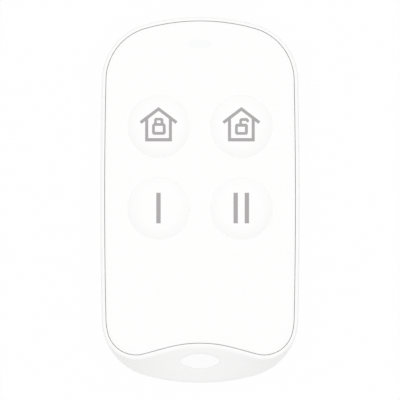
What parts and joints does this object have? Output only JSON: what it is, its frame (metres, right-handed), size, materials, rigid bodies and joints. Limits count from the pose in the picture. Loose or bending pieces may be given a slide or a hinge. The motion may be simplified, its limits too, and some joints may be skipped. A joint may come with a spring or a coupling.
{
  "type": "alarm key fob",
  "caption": "Slim white alarm key fob with domed arm, disarm and two function keys, an indicator window, a coin cell behind a twist door and a ring hole in its tail.",
  "frame": {"origin": "on the flat back, under the centre of the case", "axes": "+Z out of the front face, +Y along the fob towards the indicator window, +X to the right seen from the front"},
  "size_m": [0.036, 0.0662, 0.0124],
  "materials": {
    "case_white": "satin moulded white",
    "cover_white": "satin moulded white",
    "key_white": "satin moulded white",
    "pipe_clear": "milky clear",
    "lamp_clear": "clear lens",
    "board_green": "solder mask",
    "chip_black": "moulded epoxy",
    "chip_ceramic": "fired ceramic",
    "contact_gold": "gold flash",
    "contact_nickel": "nickel plate",
    "bright_steel": "rolled",
    "screw_steel": "zinc plate",
    "gasket_grey": "moulded",
    "cell_paste": "pressed powder",
    "seal_rubber": "matt",
    "switch_black": "moulded",
    "switch_stem": "moulded"
  },
  "bodies": {
    "housing": {"rear_housing": "case_white", "front_cover": "cover_white", "light_pipe": "pipe_clear", "indicator_led": "lamp_clear", "circuit_board": "board_green", "radio_chip": "chip_black", "crystal": "bright_steel", "chip_parts": "chip_ceramic", "antenna": "contact_gold", "switch_terminals": "bright_steel", "positive_contacts": "contact_nickel", "negative_contact": "contact_nickel", "cell_can": "bright_steel", "cell_gasket": "gasket_grey", "cell_filling": "cell_paste", "cell_cap": "bright_steel", "case_screws": "screw_steel", "switch_base_arm": "switch_black", "switch_plate_arm": "bright_steel", "snap_dome_arm": "bright_steel", "switch_base_disarm": "switch_black", "switch_plate_disarm": "bright_steel", "snap_dome_disarm": "bright_steel", "switch_base_one": "switch_black", "switch_plate_one": "bright_steel", "snap_dome_one": "bright_steel", "switch_base_two": "switch_black", "switch_plate_two": "bright_steel", "snap_dome_two": "bright_steel"},
    "arm_key": {"key_arm": "key_white", "switch_stem_arm": "switch_stem"},
    "disarm_key": {"key_disarm": "key_white", "switch_stem_disarm": "switch_stem"},
    "one_key": {"key_one": "key_white", "switch_stem_one": "switch_stem"},
    "two_key": {"key_two": "key_white", "switch_stem_two": "switch_stem"},
    "door": {"battery_door": "case_white", "door_seal": "seal_rubber"}
  },
  "joints": [
    {"name": "arm_press", "type": "slide", "parent": "housing", "child": "arm_key", "axis": [0, 0, -1], "range_m": [0, 0.0003], "stiffness_N_per_m": 1500, "deforming": ["snap_dome_arm"]},
    {"name": "disarm_press", "type": "slide", "parent": "housing", "child": "disarm_key", "axis": [0, 0, -1], "range_m": [0, 0.0003], "stiffness_N_per_m": 1500, "deforming": ["snap_dome_disarm"]},
    {"name": "one_press", "type": "slide", "parent": "housing", "child": "one_key", "axis": [0, 0, -1], "range_m": [0, 0.0003], "stiffness_N_per_m": 1500, "deforming": ["snap_dome_one"]},
    {"name": "two_press", "type": "slide", "parent": "housing", "child": "two_key", "axis": [0, 0, -1], "range_m": [0, 0.0003], "stiffness_N_per_m": 1500, "deforming": ["snap_dome_two"]},
    {"name": "door_twist", "type": "hinge", "parent": "housing", "child": "door", "pos_m": [0, 0.003, 0], "axis": [0, 0, 1], "range_deg": [0, 30]}
  ]
}
